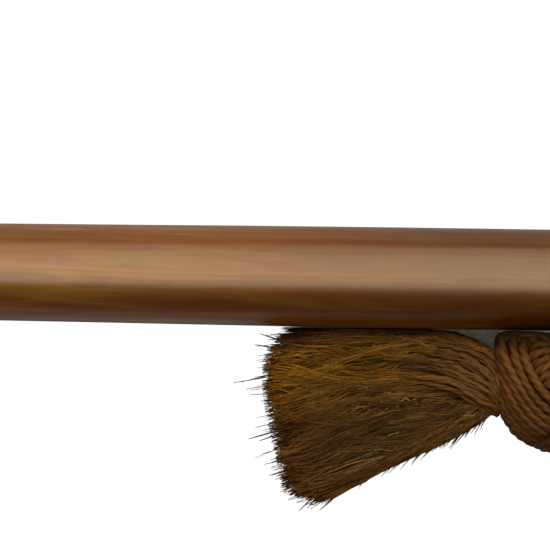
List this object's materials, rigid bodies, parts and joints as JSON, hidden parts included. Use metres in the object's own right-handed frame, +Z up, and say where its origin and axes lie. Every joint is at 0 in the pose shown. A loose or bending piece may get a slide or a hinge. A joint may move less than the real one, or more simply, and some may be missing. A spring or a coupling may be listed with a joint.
{
  "type": "curling broom",
  "caption": "Traditional curling broom: varnished wooden shaft, flat stitched coir fan head, and a coir wrist loop with a ball knot and frayed tassel at the butt.",
  "frame": {"origin": "on the ground under the middle of the broom, which lies flat", "axes": "+X along the shaft from the brush tips to the butt, +Y across the fan, +Z up"},
  "size_m": [1.2368, 0.192, 0.0345],
  "materials": {
    "shaft_wood": "clear gloss varnish over stained hardwood",
    "nail_steel": "plain steel, dulled",
    "head_coir": "loose coir bristle fibre",
    "core_coir": "packed coir bristle fibre",
    "serving_cord": "tightly served coir cord",
    "binding_wire": "galvanised steel wire",
    "stitch_cord": "waxed coir cord",
    "rope_coir": "three-strand coir rope",
    "seizing_twine": "fine waxed twine",
    "knot_coir": "plaited coir cord",
    "tassel_coir": "combed-out coir fibre"
  },
  "bodies": {
    "broom": {"shaft": "shaft_wood", "neck_nails": "nail_steel", "face_hank_upper": "head_coir", "face_hank_lower": "head_coir", "centre_hank": "core_coir", "side_hank_left": "head_coir", "side_hank_right": "head_coir", "neck_serving": "serving_cord", "neck_wire": "binding_wire", "stitch_row_1": "stitch_cord", "stitch_row_2": "stitch_cord", "stitch_row_3": "stitch_cord", "stitch_row_4": "stitch_cord"},
    "lanyard": {"rope_through_shaft": "rope_coir", "wrist_loop": "rope_coir", "throat_seizing": "seizing_twine", "knot_heart": "knot_coir", "knot_cover": "knot_coir", "tassel_neck": "tassel_coir"},
    "tassel": {"tassel": "tassel_coir"}
  },
  "joints": [
    {"name": "lanyard_swing", "type": "hinge", "parent": "broom", "child": "lanyard", "pos_m": [0.535, 0, 0.0165], "axis": [0, 1, 0], "range_deg": [-150, 150]},
    {"name": "tassel_sway", "type": "hinge", "parent": "lanyard", "child": "tassel", "pos_m": [0.478, -0.0286, 0.0155], "axis": [0, 0, 1], "range_deg": [0, 45]}
  ]
}
